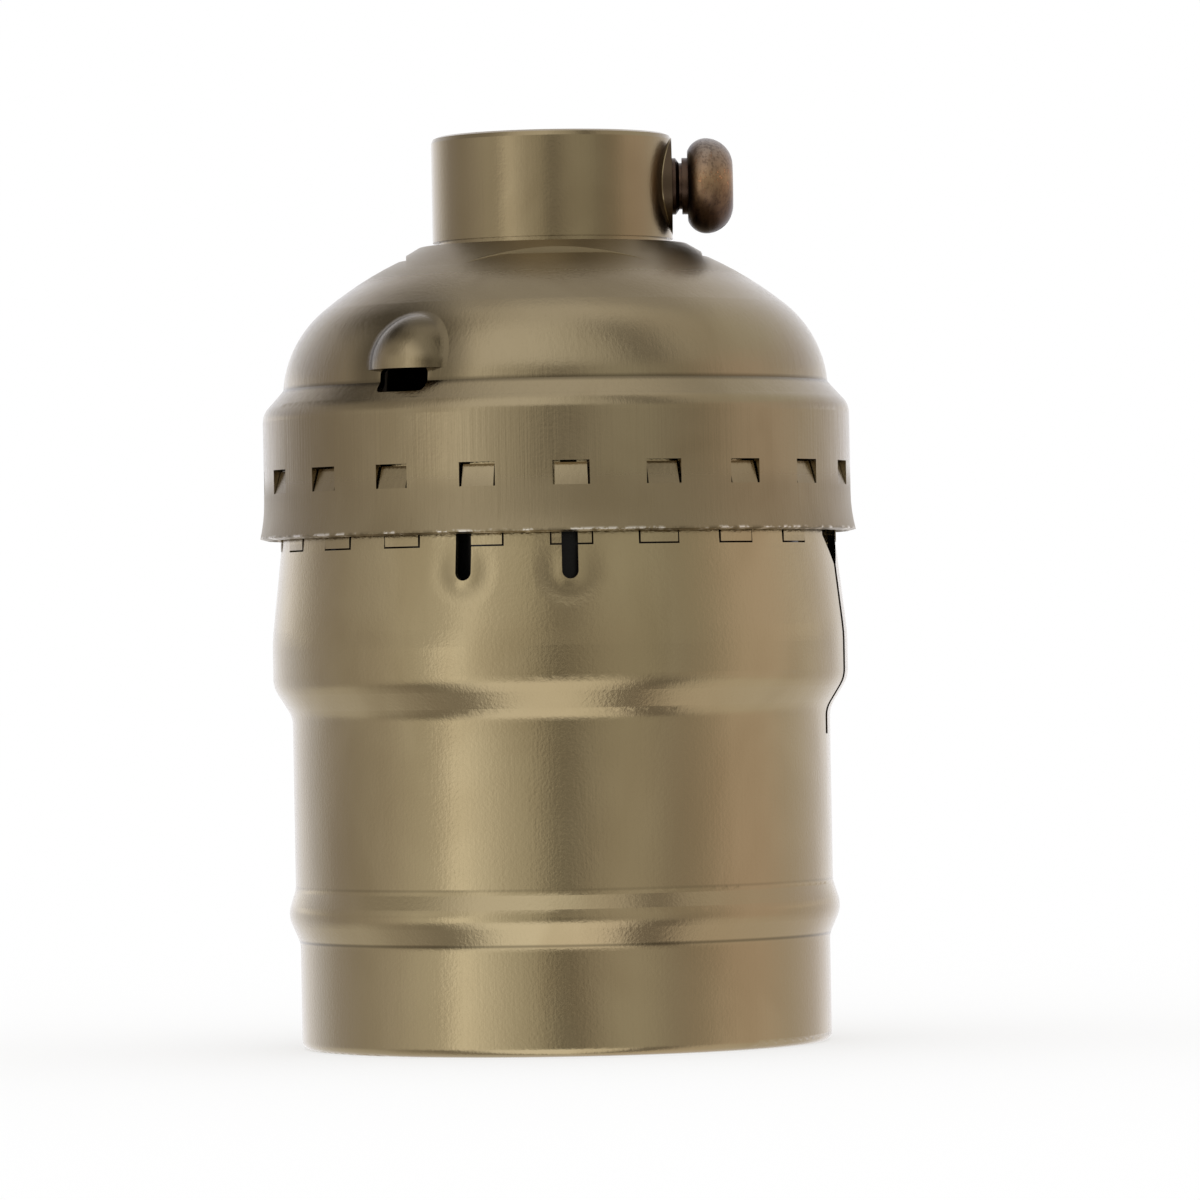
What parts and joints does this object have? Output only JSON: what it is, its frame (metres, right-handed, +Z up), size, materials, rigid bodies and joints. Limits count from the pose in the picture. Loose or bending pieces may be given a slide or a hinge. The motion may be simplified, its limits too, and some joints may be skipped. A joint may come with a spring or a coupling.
{
  "type": "lamp holder",
  "caption": "Metal-shell screw lamp holder with a domed toothed cap, threaded neck with side set screw, and an insulated interior with sprung centre contact.",
  "frame": {"origin": "centre of the mouth rim, in the plane the holder stands on", "axes": "+Z up the axis to the neck, +X towards the set screw, picture seen along +Y"},
  "size_m": [0.0354, 0.0354, 0.054],
  "materials": {
    "bronze": "antique bronze over brushed sheet",
    "dark_screw": "oil-rubbed dark bronze",
    "fibre_black": "waxed black fibre",
    "phenolic": "glossy black moulding",
    "contact_brass": "bright stamped brass",
    "nickel": "nickel-plated brass",
    "screw_brass": "plain brass"
  },
  "bodies": {
    "shell": {"outer_shell": "bronze", "shell_lining": "fibre_black"},
    "interior": {"base_block": "phenolic", "screw_shell": "nickel", "contact_rivet": "contact_brass", "neutral_rivet": "nickel", "shell_rivets": "nickel", "hot_strap": "contact_brass", "neutral_strap": "nickel", "hot_saddle": "contact_brass", "neutral_saddle": "nickel", "cover_disc": "fibre_black", "cover_screws": "nickel"},
    "cap_body": {"cap": "bronze", "neck_collar": "bronze", "cap_lining": "fibre_black"},
    "set_screw_body": {"set_screw": "dark_screw"},
    "contact": {"centre_contact": "contact_brass"},
    "hot_screw": {"hot_terminal_screw": "screw_brass"},
    "neutral_screw": {"neutral_terminal_screw": "nickel"}
  },
  "joints": [
    {"name": "interior_lift", "type": "slide", "parent": "shell", "child": "interior", "axis": [0, 0, 1], "range_m": [0, 0.04]},
    {"name": "cap_lift", "type": "slide", "parent": "interior", "child": "cap_body", "axis": [0, 0, 1], "range_m": [0, 0.02]},
    {"name": "set_screw_travel", "type": "slide", "parent": "cap_body", "child": "set_screw_body", "axis": [1, 0, 0], "range_m": [-0.0007, 0.0024]},
    {"name": "contact_flex", "type": "hinge", "parent": "interior", "child": "contact", "pos_m": [0.0042, 0, 0.0187], "axis": [0, 1, 0], "range_deg": [0, 10], "stiffness_Nm_per_rad": 0.02},
    {"name": "hot_screw_travel", "type": "slide", "parent": "interior", "child": "hot_screw", "axis": [1, 0, 0], "range_m": [0, 0.0018]},
    {"name": "neutral_screw_travel", "type": "slide", "parent": "interior", "child": "neutral_screw", "axis": [-1, 0, 0], "range_m": [0, 0.0018]}
  ]
}
